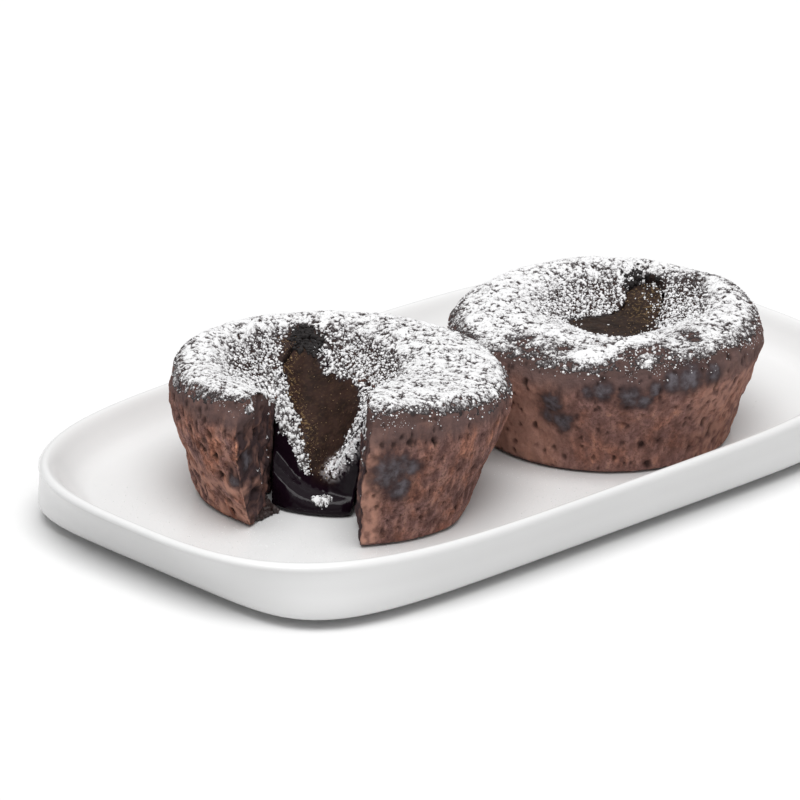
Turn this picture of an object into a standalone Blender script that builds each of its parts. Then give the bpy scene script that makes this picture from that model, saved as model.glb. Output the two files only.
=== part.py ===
# Two small chocolate lava cakes on an oblong porcelain plate.
# One cake is cut open and its molten chocolate runs out on to the plate.
# Metres, +Z up, +X along the plate, origin under the middle of the plate.
import bmesh
import bpy
import numpy as np
from math import pi, radians
from mathutils import Matrix, Vector, noise

MM = 0.001
GAP = 0.4 * MM

# Plate
PLATE_HALF_X = 106.2 * MM
PLATE_HALF_Y = 58.2 * MM
LIP_POWER_X = 4.1
LIP_POWER_Y = 3.0
BASE_POWER = 6.0
LIP_HEIGHT = 16.0 * MM
WELL_HEIGHT = 9.0 * MM
UNDERSIDE_HEIGHT = 4.2 * MM
PLATE_POINTS = 84

# Cakes, measured from the plate's well upward
CAKE_RADIUS = 40.0 * MM
CAKE_HEIGHT = 31.0 * MM
SMALL_SPREAD = 0.925
SMALL_HEIGHT = 0.95
CAKE_STEPS = 64
CUT_CAKE_AT = Vector((-45.7 * MM, -6.4 * MM, 0.0))
WHOLE_CAKE_AT = Vector((31.0 * MM, -17.1 * MM, 0.0))
CAKE_TURN = radians(-45.6)

# Molten chocolate of the cut cake, in that cake's own turned frame
POUR_LEFT = -15.0 * MM
POUR_RIGHT = 7.6 * MM
POUR_CREST = 24.0 * MM
POUR_FOOT_SHARE = 0.42
POUR_SECTIONS = 15
POUR_TOP_POINTS = 11


def smooth(low, high, value):
    """Ease from 0 at low to 1 at high."""
    part = min(max((value - low) / (high - low), 0.0), 1.0)
    return part * part * (3.0 - 2.0 * part)


def line(value, places, heights):
    """Straight steps through the given places, in millimetres."""
    return float(np.interp(value / MM, places, heights)) * MM


def rough(point, size, shift):
    """Gentle unevenness between about -1 and 1."""
    return noise.noise(Vector(point) / size + Vector((shift, 2.0 * shift, 0.5)))


def clear_file():
    for item in list(bpy.data.objects):
        bpy.data.objects.remove(item, do_unlink=True)


def new_collection(name):
    group = bpy.data.collections.new(name)
    bpy.context.scene.collection.children.link(group)
    return group


def new_object(name, points, faces, group):
    mesh = bpy.data.meshes.new(name)
    mesh.from_pydata([tuple(point) for point in points], [], faces)
    mesh.update()
    item = bpy.data.objects.new(name, mesh)
    group.objects.link(item)
    return item


def loft(name, rings, group, split=False):
    """Closed body through rings of equal point count, capped at both ends.

    Split makes triangles with the same diagonals in a body and in its clearance.
    """
    count = len(rings[0])
    points = [point for ring in rings for point in ring]
    faces = []
    for level in range(len(rings) - 1):
        low = level * count
        high = low + count
        for place in range(count):
            following = (place + 1) % count
            quad = (low + place, low + following, high + following, high + place)
            if split:
                faces += [(quad[0], quad[1], quad[2]), (quad[0], quad[2], quad[3])]
            else:
                faces.append(quad)
    last = (len(rings) - 1) * count
    faces.append(tuple(reversed(range(count))))
    faces.append(tuple(last + place for place in range(count)))
    item = new_object(name, points, faces, group)
    face_outward(item)
    return item


def face_outward(item):
    sheet = bmesh.new()
    sheet.from_mesh(item.data)
    bmesh.ops.recalc_face_normals(sheet, faces=sheet.faces)
    sheet.to_mesh(item.data)
    sheet.free()


def turned(name, profile, steps, group):
    """Body turned from a profile of (radius, height), top centre to bottom centre."""
    points = [(radius, 0.0, height) for radius, height in profile]
    edges = [(place, place + 1) for place in range(len(profile) - 1)]
    mesh = bpy.data.meshes.new(name)
    mesh.from_pydata(points, edges, [])
    item = bpy.data.objects.new(name, mesh)
    group.objects.link(item)
    screw = item.modifiers.new("turn", "SCREW")
    screw.steps = steps
    screw.render_steps = steps
    screw.use_merge_vertices = True
    screw.merge_threshold = 0.00005
    bake(item)
    face_outward(item)
    return item


def bake(item):
    """Replace the object's mesh by the result of its modifiers."""
    view = bpy.context.evaluated_depsgraph_get()
    result = bpy.data.meshes.new_from_object(item.evaluated_get(view))
    item.modifiers.clear()
    item.data = result


def reshape(item, move):
    for vertex in item.data.vertices:
        vertex.co = move(vertex.co.copy())
    item.data.update()


def cut_away(item, cutter):
    step = item.modifiers.new("cut", "BOOLEAN")
    step.operation = "DIFFERENCE"
    step.solver = "EXACT"
    step.object = cutter
    bpy.context.view_layer.update()
    bake(item)
    tidy_mesh(item)


def tidy_mesh(item):
    """Merge slivers that the cut leaves and split the many-sided faces."""
    sheet = bmesh.new()
    sheet.from_mesh(item.data)
    bmesh.ops.triangulate(sheet, faces=sheet.faces)
    bmesh.ops.dissolve_degenerate(sheet, dist=0.00001, edges=sheet.edges)
    sheet.to_mesh(item.data)
    sheet.free()


def place(item, where):
    """Turn a cake's part to face the way it is cut and stand it on the plate."""
    step = Matrix.Translation(where + Vector((0.0, 0.0, WELL_HEIGHT)))
    item.data.transform(step @ Matrix.Rotation(CAKE_TURN, 4, "Z"))


def paint(item, name, colour, roughness, coat=0.0):
    stuff = bpy.data.materials.new(name)
    stuff.use_nodes = True
    shader = stuff.node_tree.nodes["Principled BSDF"]
    shader.inputs["Base Color"].default_value = (*colour, 1.0)
    shader.inputs["Roughness"].default_value = roughness
    shader.inputs["Coat Weight"].default_value = coat
    stuff.diffuse_color = (*colour, 1.0)
    item.data.materials.clear()
    item.data.materials.append(stuff)
    item.data.shade_smooth()
    item.data.set_sharp_from_angle(angle=radians(38.0))


# The plate

def oval(half_x, half_y, power_x, power_y, height):
    """Ring of evenly spaced points on a rounded oblong."""
    angle = np.linspace(0.0, 2.0 * pi, 4001)
    across = np.cos(angle)
    along = np.sin(angle)
    x = half_x * np.sign(across) * np.abs(across) ** (2.0 / power_x)
    y = half_y * np.sign(along) * np.abs(along) ** (2.0 / power_y)
    length = np.concatenate(([0.0], np.cumsum(np.hypot(np.diff(x), np.diff(y)))))
    even = np.arange(PLATE_POINTS) / PLATE_POINTS * length[-1]
    across = np.interp(even, length, x)
    along = np.interp(even, length, y)
    return [(float(a), float(b), height) for a, b in zip(across, along)]


def plate_ring(in_x, in_y, height, base=0.0):
    """Ring set in from the lip, with base 1 for the squarer foot outline."""
    power_x = LIP_POWER_X + base * (BASE_POWER - LIP_POWER_X)
    power_y = LIP_POWER_Y + base * (BASE_POWER - LIP_POWER_Y)
    return oval(PLATE_HALF_X - in_x * MM, PLATE_HALF_Y - in_y * MM, power_x, power_y, height)


def make_plate(group):
    top = LIP_HEIGHT
    well = WELL_HEIGHT
    under = UNDERSIDE_HEIGHT
    rings = [
        plate_ring(26.0, 24.0, well),
        plate_ring(10.4, 10.4, well),
        plate_ring(8.8, 8.6, well + 0.3 * MM),
        plate_ring(6.8, 6.5, well + 1.4 * MM),
        plate_ring(4.6, 4.4, well + 3.6 * MM),
        plate_ring(2.9, 2.8, top - 1.2 * MM),
        plate_ring(1.9, 1.9, top - 0.3 * MM),
        plate_ring(1.2, 1.2, top),
        plate_ring(0.5, 0.5, top - 0.2 * MM),
        plate_ring(0.0, 0.0, top - 1.1 * MM, 0.02),
        plate_ring(0.9, 0.1, top - 2.2 * MM, 0.06),
        plate_ring(2.6, 0.7, top - 4.2 * MM, 0.18),
        plate_ring(4.8, 1.8, top - 7.2 * MM, 0.42),
        plate_ring(6.6, 2.6, top - 10.2 * MM, 0.7),
        plate_ring(7.8, 3.7, top - 12.6 * MM, 0.92),
        plate_ring(9.4, 5.3, top - 13.9 * MM, 1.0),
        plate_ring(13.6, 9.9, top - 14.4 * MM, 1.0),
        plate_ring(14.6, 10.9, 0.3 * MM, 1.0),
        plate_ring(15.2, 11.5, 0.0, 1.0),
        plate_ring(17.0, 13.3, 0.0, 1.0),
        plate_ring(17.8, 14.1, 0.4 * MM, 1.0),
        plate_ring(19.4, 15.7, under - 0.4 * MM, 1.0),
        plate_ring(21.4, 17.7, under, 1.0),
    ]
    item = loft("plate", rings, group)
    paint(item, "glazed porcelain", (0.86, 0.86, 0.85), 0.12, 0.6)
    return item


# The cakes, as radius and height in millimetres

CAKE_PROFILE = [
    (0.0, 31.0), (4.0, 31.0), (8.0, 31.0), (12.0, 31.0), (16.0, 31.0), (20.0, 31.0), (24.0, 31.0),
    (28.0, 31.0), (31.5, 31.0), (34.6, 30.7), (37.0, 29.9), (38.8, 28.5), (39.8, 26.4), (40.0, 23.6),
    (38.9, 20.0), (37.3, 16.2), (35.8, 12.2), (34.7, 8.4), (33.8, 4.8), (33.3, 2.2), (33.0, 0.8),
    (32.4, 0.1), (31.0, 0.0), (22.0, 0.0), (0.0, 0.0),
]


# A crater's depth from its middle, 0, to its rim, 1: a funnel with a soft rim and floor
CRATER_PLACES = (0.0, 0.12, 0.5, 0.82, 0.96, 1.08)
CRATER_SHARES = (1.0, 0.97, 0.52, 0.15, 0.03, 0.0)

# Each crater's middle, its reach across and away, and its depth
CUT_CRATER = ((-6.5 * MM, 4.0 * MM), (24.5 * MM, 30.0 * MM), 14.0 * MM)
WHOLE_CRATER = ((4.0 * MM, 7.0 * MM), (25.0 * MM, 24.0 * MM), 10.0 * MM)

# Only the outside of a cake is craggy, and only above its base
CRAG_RADIUS = 30.0 * MM
CRAG_RISE = (0.02, 0.12)


def crater_depth(across, away, crater):
    """How far the top sinks at a place."""
    middle, reach, depth = crater
    share = Vector(((across - middle[0]) / reach[0], (away - middle[1]) / reach[1])).length
    return depth * float(np.interp(share, CRATER_PLACES, CRATER_SHARES))


def crag(point, coarse, fine, shift):
    """Outward push of the baked crags at a point of a cake's side."""
    flat = Vector((point.x, point.y))
    if flat.length <= CRAG_RADIUS:
        return Vector((0.0, 0.0))
    push = 0.7 * MM * rough(point, coarse, shift) + 0.4 * MM * rough(point, fine, shift + 4.0)
    return flat.normalized() * push * smooth(*CRAG_RISE, point.z / CAKE_HEIGHT)


def cut_cake_form(point):
    """Uneven form of the cut cake, taller at its front and sunken in the middle."""
    height = point.z / CAKE_HEIGHT
    radius = Vector((point.x, point.y)).length
    front = smooth(-0.1, 0.9, -point.y / max(radius, MM)) * smooth(0.3, 0.9, height)
    near_left = smooth(0.0, 24.0 * MM, -point.y) * smooth(0.0, 24.0 * MM, -point.x)
    tuck = 0.09 * near_left * (1.0 - smooth(0.0, 0.4, height))
    tuck += 0.06 * smooth(0.8, 1.0, point.x / max(radius, MM)) * (1.0 - smooth(0.05, 0.6, height))
    spread = 1.0 - 0.055 * front - tuck + 0.012 * rough((point.x, point.y, 0.0), 30.0 * MM, 3.0)
    outward = crag(point, 6.0 * MM, 2.6 * MM, 7.0)
    x = point.x * spread + outward.x
    y = point.y * spread + outward.y
    z = point.z
    if height > 0.5:
        lift = 2.4 * MM * front + 1.6 * MM * (1.0 - smooth(-40.0 * MM, -15.0 * MM, point.x))
        lift += 0.8 * MM * smooth(0.0, 30.0 * MM, point.y)
        z += (lift + 0.6 * MM * rough((point.x, point.y, 1.0), 11.0 * MM, 5.0)) * smooth(0.5, 1.0, height)
    if height > 0.99:
        z -= crater_depth(x, y, CUT_CRATER)
        z -= 0.8 * MM * (1.0 - radius / CAKE_RADIUS)
    return Vector((x, y, z))


def whole_cake_form(point):
    """Uneven form of the whole cake with its crater set towards the back."""
    height = point.z / CAKE_HEIGHT
    fuller = 0.018 * smooth(12.0 * MM, 34.0 * MM, point.x)
    spread = SMALL_SPREAD * (1.0 + fuller + 0.014 * rough((point.x, point.y, 0.0), 28.0 * MM, 17.0))
    outward = crag(point, 6.5 * MM, 2.8 * MM, 23.0)
    x = point.x * spread + outward.x
    y = point.y * spread + outward.y
    z = point.z * SMALL_HEIGHT
    if height > 0.5:
        side = (1.4 * MM * point.x + 1.0 * MM * point.y) / CAKE_RADIUS
        z += (side + 0.6 * MM * rough((point.x, point.y, 1.0), 12.0 * MM, 19.0)) * smooth(0.5, 1.0, height)
    if height > 0.99:
        z -= crater_depth(x, y, WHOLE_CRATER)
    return Vector((x, y, z))


def top_height(form, across, away):
    """Height of a cake's top at a place in its own frame."""
    return form(Vector((across, away, CAKE_HEIGHT))).z + GAP


def make_cake(name, form, group):
    profile = [(radius * MM, height * MM) for radius, height in CAKE_PROFILE]
    item = turned(name, profile, CAKE_STEPS, group)
    reshape(item, form)
    reshape(item, lambda point: Vector((point.x, point.y, point.z + GAP)))
    return item


# The molten chocolate that runs out of the cut cake

def pour_profile(across, grow):
    """Side view of the chocolate at one place across the cut, back to front."""
    back = line(across, (-15, -12, -8, -4, 0, 4, 7.6), (-13, -22, -27, -25, -18.5, -12, -5))
    fall = line(across, (-15, -12, -8, -4, -1, 2, 5, 7.6), (-4, -1, 5, 9, 10, 11, 11.6, 12))
    crest = line(across, (-15, -12, -8, -4, -1, 2, 5, 7.6), (20, 15, 8, 7.4, 10, 14, 20, 24))
    lip = line(across, (-15, -12, -8, -4, -1, 2, 5, 7.6), (9.6, 12.2, 14.0, 14.9, 15.1, 15.0, 14.7, 14.2))
    tongue = lip - fall
    start = top_height(cut_cake_form, across, -back) - 0.4 * MM
    bank = line(across, (-15, -12, -9, -6, 7.6), (6, 3.4, 1.2, 0.2, 0))
    middle = 0.5 * (back + fall)
    half = 0.5 * (start + crest)
    top = [
        (back - grow, start + grow),
        (0.5 * (back + middle), 0.5 * (start + half) - 0.5 * MM + grow),
        (middle, half - 0.4 * MM + grow),
        (0.5 * (middle + fall), 0.5 * (half + crest) + 0.3 * MM + grow),
        (fall - 0.8 * MM, crest + 0.2 * MM + grow),
        (fall + grow, crest - 0.8 * MM + grow),
        (fall + 0.25 * tongue + grow, 4.6 * MM + bank + grow),
        (fall + 0.60 * tongue + grow, 4.0 * MM + 0.95 * bank + grow),
        (fall + 0.85 * tongue + grow, 3.3 * MM + 0.85 * bank + grow),
        (fall + 0.95 * tongue + grow, 2.2 * MM + 0.6 * bank + grow),
        (lip + grow, 1.0 * MM + grow),
    ]
    floor = GAP if grow == 0.0 else -2.0 * MM
    bottom = [
        (lip - 0.4 * MM + grow, floor),
        (min(fall, 0.0) - grow, floor),
        (middle - 1.0 * MM - grow, max(half - 12.0 * MM, GAP) - grow),
        (back + 2.5 * MM - grow, start - 4.5 * MM - grow),
        (back - grow, start - 1.6 * MM - grow),
    ]
    return top + bottom


def make_pour(name, grow, group):
    """Chocolate between the two cut faces, lofted across the cut."""
    rings = []
    for place in range(POUR_SECTIONS):
        share = place / (POUR_SECTIONS - 1)
        across = POUR_LEFT + share * (POUR_RIGHT - POUR_LEFT)
        ring = []
        for order, (forward, height) in enumerate(pour_profile(across, grow)):
            lean = POUR_FOOT_SHARE + (1.0 - POUR_FOOT_SHARE) * min(height / POUR_CREST, 1.0)
            spot = across * lean if across > 0.0 else across
            swell = 0.25 * MM * rough((spot, forward, height), 7.0 * MM, 31.0)
            edge = grow * (2.0 * share - 1.0)
            ring.append((spot + edge, -forward, height + (swell if order < POUR_TOP_POINTS - 2 else 0.0)))
        rings.append(ring)
    return loft(name, rings, group, split=True)


def make_clearance(group):
    """Space that the chocolate takes in the cut cake, with all above it open."""
    rings = []
    for place in range(POUR_SECTIONS):
        share = place / (POUR_SECTIONS - 1)
        across = POUR_LEFT + share * (POUR_RIGHT - POUR_LEFT)
        edge = GAP * (2.0 * share - 1.0)
        ring = []
        profile = pour_profile(across, GAP)
        for forward, height in profile[:POUR_TOP_POINTS]:
            ring.append((across + edge, -forward, 60.0 * MM))
        for forward, height in profile[POUR_TOP_POINTS:]:
            ring.append((across + edge, -forward, height))
        rings.append(ring)
    return loft("pour clearance", rings, group, split=True)


# Outline of the missing wedge, across and forward in millimetres, and its lean to the right near the top
WEDGE_OUTLINE = [
    (-32.4, 50.0), (-25.8, 34.5), (-22.8, 29.6), (-20.4, 24.6), (-18.6, 20.8), (-17.6, 17.0),
    (-16.8, 13.0), (-16.6, 8.0), (-16.5, 2.0), (-9.0, 1.0), (2.0, 2.0), (4.9, 9.0), (5.1, 14.0),
    (4.9, 19.0), (5.6, 24.0), (5.3, 29.0), (5.8, 34.0), (6.0, 50.0),
]
WEDGE_FLARE_RIGHT = 1.5 * MM
WEDGE_FLARE_LEFT = 0.45 * MM


def make_wedge(group):
    """Cutter for the wedge that was spooned out of the cut cake."""
    rings = []
    for level in range(10):
        height = (-2.0 + 5.0 * level) * MM
        ring = []
        for across, forward in WEDGE_OUTLINE:
            edge = 0.7 * MM * rough((across * MM, forward * MM, height), 6.0 * MM, 37.0)
            flare = WEDGE_FLARE_RIGHT if across > 0.0 else WEDGE_FLARE_LEFT
            side = across * MM + edge + flare * smooth(16.0 * MM, 30.0 * MM, height)
            ring.append((side, -forward * MM, height))
        rings.append(ring)
    return loft("wedge", rings, group)


# The pool in the whole cake's crater, with the streak that it left up the back wall

POOL_LEVEL = 23.4 * MM
POOL_THICK = 2.4 * MM
POOL_OUTLINE = [
    (-8.5, 3.0), (-6.5, -1.5), (-2.0, -4.5), (3.5, -5.5), (8.5, -4.0), (12.0, -0.5), (13.2, 4.0),
    (13.0, 9.0), (13.4, 14.0), (14.2, 18.5), (13.8, 22.5), (11.5, 24.5), (8.0, 24.3), (5.6, 22.0),
    (5.0, 18.0), (2.5, 14.5), (-2.0, 12.0), (-6.5, 9.5), (-8.6, 6.5),
]
POOL_MIDDLE = (5.0, 6.5)
# Share of the outline and drop in thicknesses for each ring, top to bottom
POOL_RINGS = [(0.35, 0.0), (0.75, 0.0), (0.94, 0.1), (1.0, 0.5), (1.0, 1.1), (0.75, 1.0), (0.35, 1.0)]
POOL_UNDERSIDE = 0.8


def make_pool(name, grow, group):
    """Setting chocolate that lies on the crater's floor and thins up its back wall."""
    rings = []
    for share, drop in POOL_RINGS:
        ring = []
        for across, away in POOL_OUTLINE:
            out = Vector((across - POOL_MIDDLE[0], away - POOL_MIDDLE[1])) * MM
            edge = out.normalized() * grow
            x = POOL_MIDDLE[0] * MM + out.x * share
            y = POOL_MIDDLE[1] * MM + out.y * share
            level = max(POOL_LEVEL, top_height(whole_cake_form, x, y) + 0.3 * MM)
            z = level - drop * POOL_THICK
            if grow > 0.0:
                z = z - grow if drop > POOL_UNDERSIDE else z + 20.0 * MM
            ring.append((x + edge.x, y + edge.y, z))
        rings.append(ring)
    return loft(name, rings, group, split=True)


def main():
    clear_file()
    group = new_collection("chocolate lava cake")
    tools = new_collection("cutters")

    make_plate(group)

    cut_cake = make_cake("cut_cake", cut_cake_form, group)
    wedge = make_wedge(tools)
    clearance = make_clearance(tools)
    cut_away(cut_cake, wedge)
    cut_away(cut_cake, clearance)
    pour = make_pour("molten_chocolate", 0.0, group)

    whole_cake = make_cake("whole_cake", whole_cake_form, group)
    pool = make_pool("chocolate_pool", 0.0, group)
    pool_clearance = make_pool("pool clearance", GAP, tools)
    cut_away(whole_cake, pool_clearance)

    for item in (cut_cake, pour):
        place(item, CUT_CAKE_AT)
    for item in (whole_cake, pool):
        place(item, WHOLE_CAKE_AT)

    paint(cut_cake, "cut cake crumb", (0.085, 0.032, 0.020), 0.9)
    paint(whole_cake, "whole cake crumb", (0.095, 0.036, 0.022), 0.9)
    paint(pour, "molten chocolate", (0.018, 0.008, 0.006), 0.12, 0.7)
    paint(pool, "pool chocolate", (0.030, 0.014, 0.008), 0.3, 0.3)

    for item in tools.objects:
        item.hide_render = True
        item.display_type = "WIRE"


main()
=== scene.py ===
# Two small chocolate lava cakes on an oblong porcelain plate, dusted with powdered sugar.
# Metres, +Z up, +X along the plate.
from math import cos, pi, radians, sin

import bmesh
import bpy
import numpy as np
from mathutils import Matrix, Vector
from mathutils.bvhtree import BVHTree


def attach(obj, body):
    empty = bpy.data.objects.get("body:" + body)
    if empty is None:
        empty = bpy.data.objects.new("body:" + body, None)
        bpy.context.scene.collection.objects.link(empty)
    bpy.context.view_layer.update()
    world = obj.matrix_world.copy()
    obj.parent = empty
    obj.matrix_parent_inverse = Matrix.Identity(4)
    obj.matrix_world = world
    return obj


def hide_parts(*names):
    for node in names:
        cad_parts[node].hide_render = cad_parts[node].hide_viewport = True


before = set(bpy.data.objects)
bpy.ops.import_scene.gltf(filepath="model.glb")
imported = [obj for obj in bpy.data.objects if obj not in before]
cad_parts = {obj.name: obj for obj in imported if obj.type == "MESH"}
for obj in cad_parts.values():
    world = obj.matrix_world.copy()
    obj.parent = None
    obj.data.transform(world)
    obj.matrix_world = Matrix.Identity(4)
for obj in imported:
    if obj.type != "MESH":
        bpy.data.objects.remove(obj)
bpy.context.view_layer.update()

MM = 0.001

# Places taken from the solids
WELL_HEIGHT = 9.0 * MM
CUT_CAKE_AT = (-45.7 * MM, -6.4 * MM)
WHOLE_CAKE_AT = (31.0 * MM, -17.1 * MM)
CAKE_TURN = radians(-45.6)

# Strength of the room's light at the horizon and overhead
ROOM_LOW = 0.12
ROOM_HIGH = 0.78
# Soft lights on the viewer's side: name, strength, height and spread
LIGHTS = [("fill", 0.25, radians(35.0), radians(50.0)), ("key", 2.45, radians(73.0), radians(45.0))]

# Detail
CAKE_VOXEL = 0.46 * MM
POUR_VOXEL = 0.35 * MM
SUGAR_STEP = 0.27 * MM
BRIDGE = 1.0 * MM
GRAINS_A_CAKE = 3200
RIDGE_GRAINS = 700
SIDE_GRAINS = 1400
PLATE_GRAINS = 2200

# The camera stands left of the plate's front, looking down a little
CAMERA_TURN = radians(-45.64)
CAMERA_RISE = radians(21.6)
CAMERA_ROLL = radians(1.8)
CAMERA_DISTANCE = 1.9287
CAMERA_TARGET = Vector((0.0232, 0.0417, 0.0))
CAMERA_LENS = 360.0


# Seeded noise on arrays of points

def dice(x, y, z, seed):
    """A steady pseudo-random number from 0 to 1 for each whole-number place."""
    mixed = x.astype(np.uint32) * np.uint32(73856093)
    mixed ^= y.astype(np.uint32) * np.uint32(19349663)
    mixed ^= z.astype(np.uint32) * np.uint32(83492791)
    mixed ^= np.uint32((seed * 2654435761) % 4294967296)
    for shift, factor in ((16, 2246822519), (13, 3266489917)):
        mixed ^= mixed >> np.uint32(shift)
        mixed *= np.uint32(factor)
    mixed ^= mixed >> np.uint32(16)
    return mixed.astype(np.float64) / 4294967295.0


def soft_noise(points, size, seed):
    """Smooth noise from about -1 to 1 whose lumps are about size across."""
    scaled = np.asarray(points, float) / size
    low = np.floor(scaled).astype(np.int64)
    part = scaled - low
    ease = part * part * part * (part * (part * 6.0 - 15.0) + 10.0)
    total = np.zeros(len(scaled))
    for dx in (0, 1):
        for dy in (0, 1):
            for dz in (0, 1):
                corner = low + np.array((dx, dy, dz))
                away = part - np.array((dx, dy, dz))
                lean = [dice(*corner.T, seed * 7 + k) * 2.0 - 1.0 for k in range(3)]
                value = lean[0] * away[:, 0] + lean[1] * away[:, 1] + lean[2] * away[:, 2]
                weight = (ease[:, 0] if dx else 1.0 - ease[:, 0])
                weight = weight * (ease[:, 1] if dy else 1.0 - ease[:, 1])
                weight = weight * (ease[:, 2] if dz else 1.0 - ease[:, 2])
                total += value * weight
    return total * 1.4


def cells(points, size, seed):
    """Distance to the nearest scattered point in cell sizes, and that point's own number."""
    scaled = np.asarray(points, float) / size
    low = np.floor(scaled).astype(np.int64)
    nearest = np.full(len(scaled), 9.0)
    own = np.zeros(len(scaled))
    for dx in (-1, 0, 1):
        for dy in (-1, 0, 1):
            for dz in (-1, 0, 1):
                corner = low + np.array((dx, dy, dz))
                spot = [corner[:, k] + dice(*corner.T, seed * 5 + k) for k in range(3)]
                away = np.sqrt(sum((scaled[:, k] - spot[k]) ** 2 for k in range(3)))
                number = dice(*corner.T, seed * 5 + 4)
                closer = away < nearest
                nearest = np.where(closer, away, nearest)
                own = np.where(closer, number, own)
    return nearest, own


def smooth(low, high, value):
    part = np.clip((value - low) / (high - low), 0.0, 1.0)
    return part * part * (3.0 - 2.0 * part)


def to_cake(points, where):
    """Places in a cake's own turned frame, x across the view and y away from it."""
    x = points[:, 0] - where[0]
    y = points[:, 1] - where[1]
    across = x * cos(CAKE_TURN) + y * sin(CAKE_TURN)
    away = -x * sin(CAKE_TURN) + y * cos(CAKE_TURN)
    return np.stack((across, away, points[:, 2] - WELL_HEIGHT), 1)


# Mesh helpers

def link(name, mesh):
    item = bpy.data.objects.new(name, mesh)
    bpy.context.scene.collection.objects.link(item)
    return item


def bake(item):
    view = bpy.context.evaluated_depsgraph_get()
    result = bpy.data.meshes.new_from_object(item.evaluated_get(view))
    item.modifiers.clear()
    item.data = result


def fine_copy(node, name, voxel, rounds):
    """A finely divided copy of a solid, with its flats eased."""
    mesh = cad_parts[node].data.copy()
    sheet = bmesh.new()
    sheet.from_mesh(mesh)
    bmesh.ops.remove_doubles(sheet, verts=sheet.verts, dist=0.000002)
    sheet.to_mesh(mesh)
    sheet.free()
    mesh.materials.clear()
    item = link(name, mesh)
    remesh = item.modifiers.new("fine", "REMESH")
    remesh.mode = "VOXEL"
    remesh.voxel_size = voxel
    ease = item.modifiers.new("ease", "SMOOTH")
    ease.factor = 0.5
    ease.iterations = rounds
    bake(item)
    return item


def places(mesh):
    flat = np.empty(len(mesh.vertices) * 3)
    mesh.vertices.foreach_get("co", flat)
    return flat.reshape(-1, 3)


def directions(mesh):
    flat = np.empty(len(mesh.vertices) * 3)
    mesh.vertex_normals.foreach_get("vector", flat)
    return flat.reshape(-1, 3)


def put_places(mesh, points):
    mesh.vertices.foreach_set("co", points.reshape(-1))
    mesh.update()


def put_number(mesh, name, values):
    layer = mesh.attributes.new(name, "FLOAT", "POINT")
    layer.data.foreach_set("value", np.asarray(values, np.float32))


def finish_piece(item, material, node=None):
    item.data.materials.clear()
    item.data.materials.append(material)
    item.data.shade_smooth()
    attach(item, "root")
    if node:
        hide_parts(node)
    return item


# Materials

def new_material(name):
    stuff = bpy.data.materials.new(name)
    stuff.use_nodes = True
    nodes = stuff.node_tree.nodes
    shader = nodes["Principled BSDF"]
    return stuff, nodes, stuff.node_tree.links, shader


def where_node(nodes):
    return nodes.new("ShaderNodeTexCoord").outputs["Object"]


def noise_node(nodes, links, scale, detail=4.0, rough=0.6, stretch=None):
    noise = nodes.new("ShaderNodeTexNoise")
    noise.inputs["Scale"].default_value = scale
    noise.inputs["Detail"].default_value = detail
    noise.inputs["Roughness"].default_value = rough
    source = where_node(nodes)
    if stretch:
        mapping = nodes.new("ShaderNodeMapping")
        mapping.inputs["Scale"].default_value = stretch
        links.new(source, mapping.inputs["Vector"])
        source = mapping.outputs["Vector"]
    links.new(source, noise.inputs["Vector"])
    return noise.outputs["Fac"]


def ramp_node(nodes, links, source, stops):
    ramp = nodes.new("ShaderNodeValToRGB")
    elements = ramp.color_ramp.elements
    while len(elements) < len(stops):
        elements.new(0.5)
    for element, (spot, colour) in zip(elements, stops):
        element.position = spot
        element.color = (*colour, 1.0)
    links.new(source, ramp.inputs["Fac"])
    return ramp.outputs["Color"]


def grey(value):
    return (value, value, value)


def mix_node(nodes, links, factor, first, second, kind="MIX"):
    mix = nodes.new("ShaderNodeMix")
    mix.data_type = "RGBA"
    mix.blend_type = kind
    if isinstance(factor, float):
        mix.inputs["Factor"].default_value = factor
    else:
        links.new(factor, mix.inputs["Factor"])
    for socket, value in ((mix.inputs[6], first), (mix.inputs[7], second)):
        if isinstance(value, tuple):
            socket.default_value = (*value, 1.0)
        else:
            links.new(value, socket)
    return mix.outputs[2]


def number_node(nodes, name):
    attribute = nodes.new("ShaderNodeAttribute")
    attribute.attribute_name = name
    return attribute.outputs["Fac"]


def math_node(nodes, links, kind, *values):
    """Works out one number from others, each given as a number or as another node's output."""
    node = nodes.new("ShaderNodeMath")
    node.operation = kind
    for socket, value in zip(node.inputs, values):
        if isinstance(value, float):
            socket.default_value = value
        else:
            links.new(value, socket)
    return node.outputs[0]


def range_node(nodes, links, source, low, high):
    """Turns a number from 0 to 1 into one from low to high."""
    node = nodes.new("ShaderNodeMapRange")
    links.new(source, node.inputs["Value"])
    node.inputs["To Min"].default_value = low
    node.inputs["To Max"].default_value = high
    return node.outputs["Result"]


def add_bump(nodes, links, shader, source, depth, strength=1.0):
    bump = nodes.new("ShaderNodeBump")
    bump.inputs["Distance"].default_value = depth
    bump.inputs["Strength"].default_value = strength
    links.new(source, bump.inputs["Height"])
    links.new(bump.outputs["Normal"], shader.inputs["Normal"])


def set_gloss(shader, roughness, specular):
    shader.inputs["Roughness"].default_value = roughness
    shader.inputs["Specular IOR Level"].default_value = specular


CRUMB_COLOURS = [
    (0.20, (0.069, 0.033, 0.028)), (0.40, (0.212, 0.104, 0.084)), (0.56, (0.380, 0.198, 0.158)),
    (0.74, (0.580, 0.307, 0.216)), (0.92, (0.740, 0.450, 0.310)),
]
# Colours laid over the crumb one after the other, each where its mark says; the pale warm second colour is
# painted light
CRUMB_MARKS = [
    ("even", (0.260, 0.136, 0.112)), ("painted_light", (0.560, 0.300, 0.225)), ("cut", (0.060, 0.038, 0.040)),
    ("band", (0.108, 0.070, 0.066)), ("top", (0.036, 0.024, 0.021)), ("halo", (0.034, 0.022, 0.023)),
]


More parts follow.
